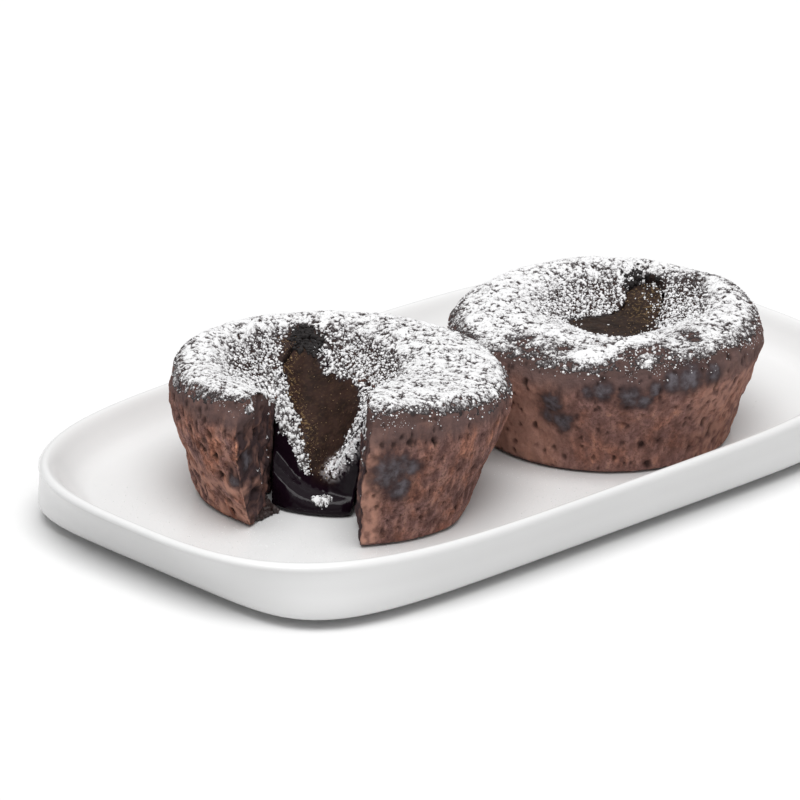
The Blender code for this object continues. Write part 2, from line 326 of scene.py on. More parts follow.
def crumb_material(name):
    """Porous baked crumb, with painted shade in the pores and caves, and painted light that makes raised
    relief and lit edges orange-brown.
    """
    stuff, nodes, links, shader = new_material(name)
    streaks = noise_node(nodes, links, 640.0, 6.0, 0.78, (1.0, 1.0, 0.40))
    # Painted light and shade: paler on raised relief and along the lit cut edges, darker in the dips, over
    # streaky crumb colour
    height = math_node(nodes, links, "MULTIPLY_ADD", streaks, 0.9, number_node(nodes, "lit_relief_and_streaks"))
    base = ramp_node(nodes, links, height, CRUMB_COLOURS)
    patches = noise_node(nodes, links, 210.0, 3.0, 0.6, (1.0, 1.0, 0.7))
    tints = [(0.38, (0.74, 0.80, 0.92)), (0.52, grey(1.0)), (0.64, (1.22, 1.02, 0.84))]
    tint = ramp_node(nodes, links, patches, tints)
    base = mix_node(nodes, links, 0.9, base, tint, "MULTIPLY")
    specks = noise_node(nodes, links, 1300.0, 3.0, 0.75)
    grit = ramp_node(nodes, links, specks, [(0.36, grey(0.30)), (0.52, grey(1.04))])
    base = mix_node(nodes, links, 0.9, base, grit, "MULTIPLY")
    for mark, colour in CRUMB_MARKS:
        base = mix_node(nodes, links, number_node(nodes, mark), base, colour)
    bloom = noise_node(nodes, links, 520.0, 3.0, 0.6)
    skin = ramp_node(nodes, links, bloom, [(0.36, (0.062, 0.048, 0.052)), (0.62, (0.158, 0.146, 0.164))])
    base = mix_node(nodes, links, number_node(nodes, "berry"), base, skin)
    # Painted shade: near black in the pores, the caves and the dark hollows
    base = mix_node(nodes, links, number_node(nodes, "pore_shade"), base, (0.014, 0.009, 0.009))
    links.new(base, shader.inputs["Base Color"])
    set_gloss(shader, 0.85, 0.12)
    add_bump(nodes, links, shader, noise_node(nodes, links, 1700.0, 4.0, 0.75), 0.0004, 1.0)
    return stuff


SUGAR_COLOURS = [
    (0.20, (0.036, 0.029, 0.029)), (0.44, (0.17, 0.158, 0.16)), (0.62, (0.62, 0.615, 0.62)),
    (0.90, (0.82, 0.82, 0.825)),
]


def sugar_material():
    """Powdered sugar, greyer and browner where it lies thin."""
    stuff, nodes, links, shader = new_material("powdered sugar")
    fine = noise_node(nodes, links, 2600.0, 3.0, 0.7)
    thickness = math_node(nodes, links, "MULTIPLY_ADD", fine, 1.5, number_node(nodes, "cover"))
    links.new(ramp_node(nodes, links, thickness, SUGAR_COLOURS), shader.inputs["Base Color"])
    set_gloss(shader, 0.95, 0.2)
    add_bump(nodes, links, shader, noise_node(nodes, links, 3000.0, 2.0, 0.6), 0.00025, 0.8)
    return stuff


def grain_material(name, colour, roughness):
    stuff, nodes, links, shader = new_material(name)
    tint = noise_node(nodes, links, 900.0, 2.0, 0.5)
    low = tuple(0.75 * part for part in colour)
    links.new(ramp_node(nodes, links, tint, [(0.3, low), (0.6, colour)]), shader.inputs["Base Color"])
    shader.inputs["Roughness"].default_value = roughness
    return stuff


# Wet, setting and golden colours of the flow and of the pool; the golden one is a painted glint
MOLTEN_COLOURS = ((0.007, 0.003, 0.006), (0.032, 0.016, 0.012), (0.15, 0.095, 0.045))
SETTING_COLOURS = ((0.008, 0.005, 0.004), (0.038, 0.023, 0.018), (0.14, 0.092, 0.045))


def chocolate_material(name, colours, roughness, coat):
    """Molten chocolate: near-black and glossy, brown and satin where it starts to set."""
    dark, satin, painted_glint = colours
    stuff, nodes, links, shader = new_material(name)
    patches = noise_node(nodes, links, 300.0, 4.0, 0.6)
    darker = tuple(0.45 * part for part in satin)
    mottled = ramp_node(nodes, links, patches, [(0.36, darker), (0.60, satin)])
    # Painted glints: golden specks on the setting chocolate
    grit = noise_node(nodes, links, 1500.0, 2.0, 0.6)
    specks = ramp_node(nodes, links, grit, [(0.54, grey(0.0)), (0.64, grey(1.0))])
    fleck = math_node(nodes, links, "MULTIPLY", specks, number_node(nodes, "painted_glint"))
    mottled = mix_node(nodes, links, fleck, mottled, painted_glint)
    base = mix_node(nodes, links, number_node(nodes, "set"), dark, mottled)
    # Pale streaks along the ridge: a thin sugar film and a painted highlight
    base = mix_node(nodes, links, number_node(nodes, "sugar_film_and_highlight"), base, (0.66, 0.62, 0.63))
    links.new(base, shader.inputs["Base Color"])
    rough = range_node(nodes, links, number_node(nodes, "set"), roughness, 0.62)
    links.new(rough, shader.inputs["Roughness"])
    shader.inputs["Specular IOR Level"].default_value = 0.08
    fade = range_node(nodes, links, number_node(nodes, "set"), coat, 0.0)
    links.new(fade, shader.inputs["Coat Weight"])
    shader.inputs["Coat Roughness"].default_value = 0.05
    shader.inputs["Coat IOR"].default_value = 1.25
    add_bump(nodes, links, shader, noise_node(nodes, links, 800.0, 3.0, 0.6), 0.0002, 0.6)
    return stuff


def porcelain_material():
    stuff, nodes, links, shader = new_material("white glaze")
    cloud = noise_node(nodes, links, 30.0, 2.0, 0.5)
    glaze = ramp_node(nodes, links, cloud, [(0.3, (0.715, 0.715, 0.714)), (0.7, (0.735, 0.735, 0.734))])
    links.new(glaze, shader.inputs["Base Color"])
    set_gloss(shader, 0.25, 0.35)
    shader.inputs["Coat Weight"].default_value = 0.15
    shader.inputs["Coat Roughness"].default_value = 0.06
    add_bump(nodes, links, shader, noise_node(nodes, links, 60.0, 2.0, 0.5), 0.00006, 0.3)
    return stuff


# The plate, with the solid's own sections drawn more finely

PLATE_HALF_X = 106.2 * MM
PLATE_HALF_Y = 58.2 * MM
LIP_POWER_X = 4.1
LIP_POWER_Y = 3.0
BASE_POWER = 6.0
LIP = 16.0
WELL = 9.0
UNDER = 4.2
PLATE_SECTIONS = [
    (26.0, 24.0, WELL, 0.0), (10.4, 10.4, WELL, 0.0), (8.8, 8.6, WELL + 0.3, 0.0),
    (6.8, 6.5, WELL + 1.4, 0.0), (4.6, 4.4, WELL + 3.6, 0.0), (2.9, 2.8, LIP - 1.2, 0.0),
    (1.9, 1.9, LIP - 0.3, 0.0), (1.2, 1.2, LIP, 0.0),
    (0.5, 0.5, LIP - 0.2, 0.0), (0.0, 0.0, LIP - 1.1, 0.02), (0.9, 0.1, LIP - 2.2, 0.06),
    (2.6, 0.7, LIP - 4.2, 0.18), (4.8, 1.8, LIP - 7.2, 0.42), (6.6, 2.6, LIP - 10.2, 0.7),
    (7.8, 3.7, LIP - 12.6, 0.92), (9.4, 5.3, LIP - 13.9, 1.0), (13.6, 9.9, LIP - 14.4, 1.0),
    (14.6, 10.9, 0.3, 1.0), (15.2, 11.5, 0.0, 1.0), (17.0, 13.3, 0.0, 1.0), (17.8, 14.1, 0.4, 1.0),
    (19.4, 15.7, UNDER - 0.4, 1.0), (21.4, 17.7, UNDER, 1.0),
]


def oval(half_x, half_y, power_x, power_y, height, count):
    angle = np.linspace(0.0, 2.0 * pi, 4001)
    across = np.cos(angle)
    along = np.sin(angle)
    x = half_x * np.sign(across) * np.abs(across) ** (2.0 / power_x)
    y = half_y * np.sign(along) * np.abs(along) ** (2.0 / power_y)
    length = np.concatenate(([0.0], np.cumsum(np.hypot(np.diff(x), np.diff(y)))))
    even = np.arange(count) / count * length[-1]
    return [(a, b, height) for a, b in zip(np.interp(even, length, x), np.interp(even, length, y))]


def rounded_sections(sections, splits):
    """Passes a smooth line through the sections, so that the lip and foot have no flats."""
    rows = np.array(sections)
    out = []
    for place in range(len(rows) - 1):
        before = rows[max(place - 1, 0)]
        start = rows[place]
        end = rows[place + 1]
        after = rows[min(place + 2, len(rows) - 1)]
        reach = np.linalg.norm((end - start)[:3])
        slope_in = (end - before) / max(np.linalg.norm((end - before)[:3]), 0.01) * reach
        slope_out = (after - start) / max(np.linalg.norm((after - start)[:3]), 0.01) * reach
        for step in range(splits):
            t = step / splits
            out.append((2 * t ** 3 - 3 * t ** 2 + 1) * start + (t ** 3 - 2 * t ** 2 + t) * slope_in
                       + (3 * t ** 2 - 2 * t ** 3) * end + (t ** 3 - t ** 2) * slope_out)
    out.append(rows[-1])
    return out


def make_plate():
    count = 240
    points = []
    rows = rounded_sections(PLATE_SECTIONS, 3)
    for in_x, in_y, height, base in rows:
        base = min(max(base, 0.0), 1.0)
        power_x = LIP_POWER_X + base * (BASE_POWER - LIP_POWER_X)
        power_y = LIP_POWER_Y + base * (BASE_POWER - LIP_POWER_Y)
        height = min(max(height, 0.0), LIP) * MM
        in_x = max(in_x, 0.0) * MM
        in_y = max(in_y, 0.0) * MM
        points += oval(PLATE_HALF_X - in_x, PLATE_HALF_Y - in_y, power_x, power_y, height, count)
    faces = []
    for row in range(len(rows) - 1):
        inner = row * count
        outer = inner + count
        for place in range(count):
            near = (place + 1) % count
            faces.append((inner + near, inner + place, outer + place, outer + near))
    last = (len(rows) - 1) * count
    faces.append(tuple(range(count)))
    faces.append(tuple(last + place for place in reversed(range(count))))
    mesh = bpy.data.meshes.new("plate_glazed")
    mesh.from_pydata(points, [], faces)
    item = link("plate_glazed", mesh)
    return finish_piece(item, porcelain_material(), "plate")


# The cakes

# Dark fruit-like blobs in the sides: across, away, height and radius in millimetres
CUT_BERRIES = [
    (12.4, -35.3, 20.0, 4.4), (14.8, -33.6, 15.4, 2.8), (17.2, -32.9, 20.0, 2.0), (-20.8, -25.3, 18.0, 2.2),
    (-23.5, -27.0, 13.0, 1.6),
]
WHOLE_BERRIES = [
    (-12.6, -33.9, 19.4, 2.8), (-9.6, -32.8, 13.8, 2.6), (-13.4, -32.0, 14.6, 1.8), (-0.6, -37.0, 23.4, 2.2),
    (5.4, -36.4, 21.6, 2.5), (8.8, -35.3, 20.6, 1.8), (11.6, -35.0, 23.4, 1.7), (19.4, -30.8, 25.0, 3.0),
    (24.7, -27.4, 24.8, 2.0), (15.4, -32.8, 24.8, 2.1), (-4.0, -35.5, 22.4, 1.6),
]

# Painted shade of a dark hollow above each bare channel, a nearly black spot: across, away and height in
# millimetres
HOLLOW_SHADE_SPOTS = {"cut_cake_crumb": (-8.6, 26.4, 26.2), "whole_cake_crumb": (8.6, 24.2, 27.0)}


def cut_share(own):
    """Distance from the middle of the cut cake's crater, 1 at its rim."""
    return np.hypot((own[:, 0] + 6.5 * MM) / (24.5 * MM), (own[:, 1] - 4.0 * MM) / (30.0 * MM))


def whole_share(own):
    return np.hypot((own[:, 0] - 4.0 * MM) / (25.0 * MM), (own[:, 1] - 7.0 * MM) / (24.0 * MM))


def hollow_shade_gap(own, name):
    """Distance from the middle of a cake's spot of painted hollow shade, which stands taller than it is
    wide.
    """
    middle = np.array(HOLLOW_SHADE_SPOTS[name]) * MM
    return np.linalg.norm((own - middle) * np.array((1.0, 1.0, 0.6)), axis=1)


def berry_marks(points, own, berries, seed):
    """How much of a fruit-like blob shows at each point, and of the dark halo round it."""
    berry = np.zeros(len(points))
    halo = np.zeros(len(points))
    for across, away, height, size in berries:
        gap = np.linalg.norm(own - np.array((across, away, height)) * MM, axis=1) / (size * MM)
        gap += 0.4 * soft_noise(points, 2.4 * MM, seed + 41) + 0.3 * soft_noise(points, 1.0 * MM, seed + 42)
        gap -= 0.12
        berry = np.maximum(berry, smooth(1.15, 0.1, gap))
        halo = np.maximum(halo, smooth(1.9, 0.6, gap))
    return berry, halo


def pore_marks(tall, torn, seed):
    """Small holes and wider caves, with more caves where the crumb is torn."""
    near, number = cells(tall, 1.5 * MM, seed + 21)
    hole = smooth(0.46, 0.16, near) * (number > 0.66)
    wide, wide_number = cells(tall, 3.1 * MM, seed + 31)
    cave = smooth(0.36, 0.14, wide) * (wide_number > 0.80)
    ragged, ragged_number = cells(tall, 2.3 * MM, seed + 35)
    return hole, np.maximum(cave, torn * smooth(0.44, 0.18, ragged) * (ragged_number > 0.62))


def crumb_tints(name, own, side, tall, seed):
    """Where a cake's side is evened out, and where painted light makes it paler and warmer: along the lit
    cut edges and the whole cake's right edge, over the cut cake's left piece, and on the whole cake's side
    that lies in the cut cake's shade.
    """
    across = own[:, 0] / MM
    flecked = smooth(0.0, 0.5, soft_noise(tall, 1.6 * MM, seed + 99) + 0.25)
    if name == "cut_cake_crumb":
        even = 0.25 * smooth(8.0, 14.0, across)
        # Painted light along the lit cut edges and over the left piece, stronger low down
        strip = smooth(4.0, 0.6, np.abs(across - 7.4)) * (own[:, 1] < -24.0 * MM)
        strip += smooth(3.6, 0.6, np.abs(across + 19.2))
        bright = smooth(0.05, 0.45, soft_noise(tall, 1.9 * MM, seed + 101))
        low = smooth(17.0 * MM, 9.0 * MM, own[:, 2])
        left_piece = smooth(-16.0, -22.0, across) * (0.3 * bright + 0.8 * low * flecked)
        painted_light = (strip * (0.35 + 0.6 * flecked) + left_piece) * side
    else:
        even = 0.42 + np.zeros(len(own))
        # Painted light where the whole cake lies in the cut cake's shade, and along its lit right edge
        painted_light = 0.62 * smooth(-4.0, -18.0, across) * smooth(10.0 * MM, -4.0 * MM, own[:, 1]) * side
        painted_light = np.maximum(painted_light, 0.55 * flecked * smooth(17.0, 25.0, across) * side)
    return even, np.clip(painted_light, 0.0, 0.9)


def crumb_relief(item, where, seed, berries, band_height, crater_share):
    """Works pores, crags and streaks into a cake's surface and marks them for the material."""
    mesh = item.data
    points = places(mesh)
    facing = directions(mesh)
    own = to_cake(points, where)
    own_facing = to_cake(facing + np.array((where[0], where[1], WELL_HEIGHT)), where)
    radius = np.hypot(own[:, 0], own[:, 1])
    radial = (own_facing[:, 0] * own[:, 0] + own_facing[:, 1] * own[:, 1]) / np.maximum(radius, MM)
    side = smooth(0.3, 0.75, 1.0 - np.abs(facing[:, 2]))
    above = smooth(0.2 * MM, 1.6 * MM, own[:, 2])
    cut = smooth(0.72, 0.35, radial) * side * smooth(14.0 * MM, 8.0 * MM, own[:, 1])
    cut = cut * smooth(33.0 * MM, 30.0 * MM, own[:, 2])
    warp = np.stack([soft_noise(points, 1.6 * MM, seed + k) for k in (60, 61, 62)], 1) * 0.55 * MM
    tall = (points + warp) * np.array((1.0, 1.0, 0.62))
    lumps = 0.30 * MM * soft_noise(points, 5.0 * MM, seed) + 0.26 * MM * soft_noise(tall, 2.3 * MM, seed + 5)
    fine = 0.22 * MM * soft_noise(tall, 1.15 * MM, seed + 7)
    torn = smooth(-14.0 * MM, -20.0 * MM, own[:, 0]) * (item.name == "cut_cake_crumb")
    hole, cave = pore_marks(tall, torn, seed)
    berry, halo = berry_marks(points, own, berries, seed)
    open_face = 1.0 - 0.8 * berry
    hole = hole * open_face
    cave = cave * open_face
    rugged = 0.35 + 0.65 * side + 0.8 * cut
    crag = 0.8 * soft_noise(points, 3.0 * MM, seed + 91) + 1.0 * soft_noise(points, 6.0 * MM, seed + 93)
    crag = crag * cut * MM
    swell = 0.5 + 0.5 * side + 0.9 * cut + 0.7 * torn * side
    push = crag + lumps * swell + (fine - 0.45 * MM * hole - 0.8 * MM * cave) * rugged
    push = push * open_face + 0.1 * MM * berry - 0.1 * MM
    points = points + facing * (push * above)[:, None]
    points[:, 2] = np.maximum(points[:, 2], WELL_HEIGHT + 0.1 * MM)
    put_places(mesh, points)
    # Painted light: the lit corners along the cut edges are made paler through the relief colour
    corner = smooth(0.30, 0.55, radial) * smooth(0.92, 0.72, radial) * side
    corner = corner * smooth(-14.0 * MM, -22.0 * MM, own[:, 1]) * (radius < 39.0 * MM)
    streak = 0.16 * soft_noise(own * np.array((1.0, 1.0, 0.12)), 1.5 * MM, seed + 95)
    raised = (0.5 * lumps + 1.3 * fine) / (1.4 * MM) + streak * side + 0.22 * corner
    put_number(mesh, "lit_relief_and_streaks", np.clip(raised, -0.3, 0.45))
    # Painted shade: the pores, the caves and a nearly black spot at each dark hollow are darkened in colour
    spot_gap = hollow_shade_gap(own, item.name)
    rough = 1.6 * soft_noise(points, 1.6 * MM, seed + 97) + 1.2 * soft_noise(points, 0.8 * MM, seed + 98)
    hollow_shade = 0.9 * smooth(3.6 * MM, 1.8 * MM, spot_gap + rough * MM)
    put_number(mesh, "pore_shade", np.clip(0.65 * hole + 0.75 * cave + hollow_shade, 0.0, 1.0))
    put_number(mesh, "berry", 0.85 * berry)
    put_number(mesh, "halo", 0.85 * halo)
    even, painted_light = crumb_tints(item.name, own, side, tall, seed)
    put_number(mesh, "even", even)
    put_number(mesh, "painted_light", painted_light)
    patch = soft_noise(points, 4.0 * MM, seed + 71) + 0.6 * soft_noise(points, 1.3 * MM, seed + 73)
    put_number(mesh, "cut", np.clip(cut * (0.9 + 0.7 * patch), 0.0, 1.0))
    crater = smooth(1.06, 0.9, crater_share(own))
    top = np.maximum(crater, 0.45 * smooth(0.45, 0.75, facing[:, 2])) * (1.0 - cut)
    top = top * smooth(8.0 * MM, 14.0 * MM, own[:, 2])
    put_number(mesh, "top", 0.95 * top)
    edge = own[:, 2] + 1.3 * MM * soft_noise(points, 4.0 * MM, seed + 51)
    put_number(mesh, "band", 0.85 * smooth(band_height - 5.5 * MM, band_height - 0.5 * MM, edge))
    return item


# Powdered sugar

# The bare brown channel of the cut cake, as its left and right side at each distance away from the viewer
CHANNEL_AWAY = (-12.0, -7.5, -4.5, 0.0, 5.0, 9.0, 13.0, 15.5, 17.5, 20.0, 24.0, 28.0)
CHANNEL_LEFT = (-5.5, -6.0, -6.8, -7.8, -9.4, -11.2, -12.6, -13.2, -13.8, -14.0, -13.4, -11.6)
CHANNEL_RIGHT = (-1.0, 0.4, 2.6, 4.6, 4.6, 3.8, 2.0, -0.8, -3.8, -5.0, -6.2, -7.5)
# Where the left bank of the flow breaks off above the molten part, forward of the middle
CREST_ACROSS = (-15.0, -12.0, -8.0, -4.0)
CREST_FORWARD = (-2.0, -0.4, 5.2, 9.4)


def channel(own, seed=77):
    """1 in the bare channel that the chocolate took, 0 outside."""
    across = own[:, 0] / MM + 1.1 * soft_noise(own, 2.2 * MM, seed)
    across += 1.2 * soft_noise(own, 0.8 * MM, seed + 1)
    away = own[:, 1] / MM + 1.2 * soft_noise(own, 3.0 * MM, seed + 2)
    left = np.interp(away, CHANNEL_AWAY, CHANNEL_LEFT)
    right = np.interp(away, CHANNEL_AWAY, CHANNEL_RIGHT)
    ends = smooth(30.5, 28.5, away) * smooth(-12.5, -10.5, away)
    return smooth(-0.9, 0.9, across - left) * smooth(-0.9, 0.9, right - across) * ends


def cut_cover(own):
    """Sugar on the cut cake: level, and how grainy it lies."""
    share = cut_share(own)
    ring = smooth(0.62, 1.02, share)
    right = smooth(-4.0 * MM, 8.0 * MM, own[:, 0])
    left = smooth(-14.0 * MM, -24.0 * MM, own[:, 0]) * smooth(8.0 * MM, -8.0 * MM, own[:, 1])
    level = 0.66 - 0.06 * right + (0.12 - 0.06 * left) * ring
    level -= 0.36 * smooth(0.45, 0.62, share) * smooth(0.90, 0.74, share) * smooth(0.0, 8.0 * MM, own[:, 1])
    radius = np.hypot(own[:, 0], own[:, 1])
    front = -own[:, 1] / np.maximum(radius, MM)
    edge = 40.2 * MM - 5.2 * MM * smooth(0.3, 1.0, front) + 1.1 * MM * soft_noise(own, 3.5 * MM, 81)
    level -= 0.5 * smooth(edge - 4.5 * MM, edge - 1.0 * MM, radius)
    level -= 1.2 * smooth(edge - 1.2 * MM, edge + 0.6 * MM, radius)
    level -= 2.0 * channel(own)
    forward = -own[:, 1] / MM
    crest = np.interp(own[:, 0] / MM, CREST_ACROSS, CREST_FORWARD)
    inside = (own[:, 0] > -16.0 * MM) * (own[:, 0] < 5.5 * MM)
    level -= 2.5 * inside * smooth(crest - 0.3, crest + 0.8, forward)
    clump = np.hypot(own[:, 0] + 3.3 * MM, (own[:, 1] + 13.3 * MM) * 1.5)
    clump += 0.8 * MM * soft_noise(own, 1.6 * MM, 84)
    level += 2.8 * inside * smooth(3.4 * MM, 1.4 * MM, clump) * (own[:, 2] < 7.0 * MM)
    return level, 1.0 - ring


def whole_cover(own):
    share = whole_share(own)
    ring = smooth(0.60, 1.0, share)
    radius = np.hypot(own[:, 0], own[:, 1])
    front = smooth(0.2, 0.9, -own[:, 1] / np.maximum(radius, MM)) * smooth(14.0 * MM, 26.0 * MM, radius)
    level = 0.56 + 0.20 * ring - 0.20 * front - 0.24 * smooth(0.82, 0.62, share)
    edge = 37.0 * MM - 1.6 * MM * front + 1.5 * MM * soft_noise(own, 4.5 * MM, 82)
    level -= 0.5 * smooth(edge - 5.0 * MM, edge - 1.0 * MM, radius)
    level -= 1.2 * smooth(edge - 1.2 * MM, edge + 0.6 * MM, radius)
    wall = smooth(10.0 * MM, 14.0 * MM, own[:, 0]) * smooth(26.0 * MM, 21.0 * MM, own[:, 0])
    level -= 0.40 * wall * smooth(-4.0 * MM, 3.0 * MM, own[:, 1]) * smooth(27.0 * MM, 20.0 * MM, own[:, 1])
    clumps = soft_noise(own, 7.5 * MM, 83)
    level += front * (0.35 * smooth(0.0, 0.4, -clumps) - 0.62 * smooth(0.12, 0.45, clumps))
    across = np.abs(own[:, 0] / MM - 2.6) + 3.0 * soft_noise(own, 3.0 * MM, 86)
    across += 6.5 * smooth(-9.0 * MM, -18.0 * MM, own[:, 1])
    across += 1.4 * soft_noise(own, 1.1 * MM, 88)
    away = own[:, 1] / MM + 2.2 * soft_noise(own, 2.6 * MM, 87) + 1.2 * soft_noise(own, 1.0 * MM, 89)
    level -= 1.7 * smooth(9.8, 6.8, across) * smooth(-18.4, -16.0, away) * smooth(2.0, -2.0, away)
    return level, 1.0 - ring


def spread(values, rounds):
    """Softens a grid of numbers by averaging each with its neighbours."""
    for _ in range(rounds):
        sides = [np.roll(values, step, axis) for axis in (0, 1) for step in (1, -1)]
        values = (values + sum(sides)) / 5.0
    return values


def closed(heights, steps):
    """Bridges gaps in a grid of heights that are narrower than twice the steps."""
    filled = np.where(np.isnan(heights), -1.0, heights)
    for pick in (np.maximum, np.minimum):
        for _ in range(steps):
            for axis in (0, 1):
                filled = pick(pick(filled, np.roll(filled, 1, axis)), np.roll(filled, -1, axis))
    return filled


def joined_tree(pieces):
    points = []
    faces = []
    for piece in pieces:
        start = len(points)
        points += [vertex.co.copy() for vertex in piece.data.vertices]
        faces += [[start + corner for corner in face.vertices] for face in piece.data.polygons]
    return BVHTree.FromPolygons(points, faces)


# How far the sheet reaches from a cake's middle, and the height from which it is looked down on
SUGAR_REACH = 42.0 * MM
LOOK_FROM = 0.08
# Rounds that soften the border of a bare piece
BORDER_ROUNDS = 14
# Rise of the sheet for a full level, in millimetres, and its deepest dip and greatest height
SUGAR_RISE = 0.62
SUGAR_DIP = 0.32 * MM
SUGAR_TOP = 0.70 * MM
# Faces are left out where all corners lie deeper than this, or where they jump more than this
SUGAR_HIDDEN = 0.14 * MM
SUGAR_JUMP = 1.2 * MM


def look_down(pieces, bare, where, line):
    """The surface and its slope under a square grid, and 1 where a bare piece lies on top."""
    tree = joined_tree(pieces)
    bare_tree = joined_tree(bare) if bare else None
    grid_x, grid_y = (grid.reshape(-1) for grid in np.meshgrid(line, line, indexing="ij"))
    hits = np.full((len(grid_x), 3), np.nan)
    slopes = np.zeros((len(grid_x), 3))
    uncovered = np.zeros(len(grid_x))
    down = Vector((0.0, 0.0, -1.0))
    for place in np.nonzero(np.hypot(grid_x, grid_y) < SUGAR_REACH)[0]:
        start = Vector((grid_x[place] + where[0], grid_y[place] + where[1], LOOK_FROM))
        hit, slope, _, _ = tree.ray_cast(start, down)
        if hit is None:
            continue
        if bare_tree:
            cover_hit = bare_tree.ray_cast(start, down)[0]
            if cover_hit is not None and cover_hit.z > hit.z - 0.2 * MM:
                uncovered[place] = 1.0
        hits[place] = hit
        slopes[place] = slope
    return hits, slopes, uncovered


def sugar_depth(points, slope, level, grainy, seed):
    """Thickness of the sugar at each point: clots, pits and cracks, and less on steep walls."""
    grit = 0.40 * soft_noise(points, 2.4 * MM, seed) + 0.52 * soft_noise(points, 1.2 * MM, seed + 3)
    grit += 0.34 * soft_noise(points, 0.7 * MM, seed + 6)
    near, number = cells(points, 1.15 * MM, seed + 11)
    blob = smooth(0.62, 0.15, near) * (0.55 + 0.45 * number) - 0.36
    wobble = 0.4 * MM * soft_noise(points, 1.1 * MM, seed + 12)
    hole, hole_number = cells(points + wobble[:, None], 2.0 * MM, seed + 13)
    pit = smooth(0.34, 0.12, hole) * (hole_number > 0.55)
    crack = smooth(0.20, 0.02, np.abs(soft_noise(points, 1.5 * MM, seed + 41)))
    crack = crack * smooth(-0.35, 0.2, soft_noise(points, 2.6 * MM, seed + 43))
    depth = level + grit * (0.55 + 0.05 * grainy) + 1.15 * grainy * blob
    depth -= (0.8 * pit + 0.6 * crack) * (1.0 - 0.5 * grainy)
    depth -= 1.2 * smooth(0.42, 0.12, slope[:, 2])
    return np.clip(depth * SUGAR_RISE * MM, -SUGAR_DIP, SUGAR_TOP)


def sheet_faces(points, thick, index, count):
    """Squares between neighbours on the grid, without the hidden and the steep ones."""
    back = np.full(count * count, -1)
    back[index] = np.arange(len(index))
    back = back.reshape(count, count)
    quads = np.stack((back[:-1, :-1], back[1:, :-1], back[1:, 1:], back[:-1, 1:]), -1).reshape(-1, 4)
    quads = quads[(quads >= 0).all(1)]
    quads = quads[(thick > -SUGAR_HIDDEN)[quads].any(1)]
    heights = points[quads][:, :, 2]
    return quads[(heights.max(1) - heights.min(1)) < SUGAR_JUMP]


def sugar_sheet(name, pieces, bare, where, cover, seed, material):
    """A thin uneven sheet that lies on the cake's top and dips under it at each bare patch."""
    count = int(2 * SUGAR_REACH / SUGAR_STEP) + 1
    line = np.linspace(-SUGAR_REACH, SUGAR_REACH, count)
    hits, slopes, uncovered = look_down(pieces, bare, where, line)
    index = np.nonzero(~np.isnan(hits[:, 0]))[0]
    bridge = closed(hits[:, 2].reshape(count, count), int(BRIDGE / SUGAR_STEP)).reshape(-1)
    bridged = bridge[index] > hits[index, 2] + 0.2 * MM
    points = hits[index]
    points[:, 2] = np.maximum(points[:, 2], bridge[index])
    slope = slopes[index]
    slope[bridged] = (0.0, 0.0, 1.0)
    own = to_cake(points, where)
    level, grainy = cover(own)
    border = spread(uncovered.reshape(count, count), BORDER_ROUNDS).reshape(-1)[index]
    border += 0.34 * soft_noise(points, 1.7 * MM, seed + 31) + 0.30 * soft_noise(points, 0.8 * MM, seed + 33)
    level = level - 2.4 * smooth(0.36, 0.60, border) * (border > 0.0)
    thick = sugar_depth(points, slope, level, grainy, seed)
    upright = slope * 0.6 + np.array((0.0, 0.0, 0.4))
    points = points + upright * thick[:, None]
    quads = sheet_faces(points, thick, index, count)
    used = np.unique(quads)
    renumber = np.full(len(points), -1)
    renumber[used] = np.arange(len(used))
    sheet = bpy.data.meshes.new(name)
    sheet.from_pydata(points[used].tolist(), [], renumber[quads].tolist())
    sheet.update()
    item = link(name, sheet)
    put_number(sheet, "cover", np.clip(thick[used] / (0.6 * MM), -0.2, 1.1) - 0.72)
    finish_piece(item, material)
    return points, thick, smooth(-0.9, 0.0, level) * (0.12 + 0.88 * grainy)


GRAIN_POINTS = np.array([(1, 0, 0), (-1, 0, 0), (0, 1, 0), (0, -1, 0), (0, 0, 1), (0, 0, -1)], float)
GRAIN_FACES = np.array([
    (0, 2, 4), (2, 1, 4), (1, 3, 4), (3, 0, 4), (2, 0, 5), (1, 2, 5), (3, 1, 5), (0, 3, 5),
])


def lumpy_grain():
    ball = bmesh.new()
    bmesh.ops.create_icosphere(ball, subdivisions=1, radius=1.0)
    corner = np.array([v.co[:] for v in ball.verts])
    face = np.array([[v.index for v in f.verts] for f in ball.faces])
    ball.free()
    return corner, face


def scatter(name, spots, sizes, material, seed, lumpy=True):
    """One joined mesh of small uneven grains."""
    draw = np.random.default_rng(seed)
    corner, face = lumpy_grain() if lumpy else (GRAIN_POINTS, GRAIN_FACES)
    total = len(spots)
    stretch = draw.uniform(0.65, 1.3, (total, 1, 3))
    rough = draw.uniform(0.75, 1.2, (total, len(corner), 1))
    turn = draw.uniform(0.0, 2.0 * pi, total)
    shape = corner[None] * stretch * rough * sizes[:, None, None]
    x = shape[:, :, 0] * np.cos(turn)[:, None] - shape[:, :, 1] * np.sin(turn)[:, None]
    y = shape[:, :, 0] * np.sin(turn)[:, None] + shape[:, :, 1] * np.cos(turn)[:, None]
    points = np.stack((x, y, shape[:, :, 2]), -1) + spots[:, None, :]
    faces = face[None] + (np.arange(total) * len(corner))[:, None, None]
    mesh = bpy.data.meshes.new(name)
    mesh.from_pydata(points.reshape(-1, 3).tolist(), [], faces.reshape(-1, 3).tolist())
    mesh.update()
    item = finish_piece(link(name, mesh), material)
    item.data.shade_flat()
    return item


def grains_on(name, points, thick, loose, material, seed, total):
    """Loose grains, most of them where the sugar thins out."""
    draw = np.random.default_rng(seed)
    chance = loose * smooth(0.5 * MM, -0.1 * MM, thick)
    picked = draw.choice(len(points), total, replace=False, p=chance / chance.sum())
    sizes = (0.12 + 0.26 * draw.random(total) ** 2) * MM
    spots = points[picked]
    spots[:, 2] += 0.3 * sizes - np.minimum(thick[picked], 0.0)
    return scatter(name, spots, sizes, material, seed + 1)


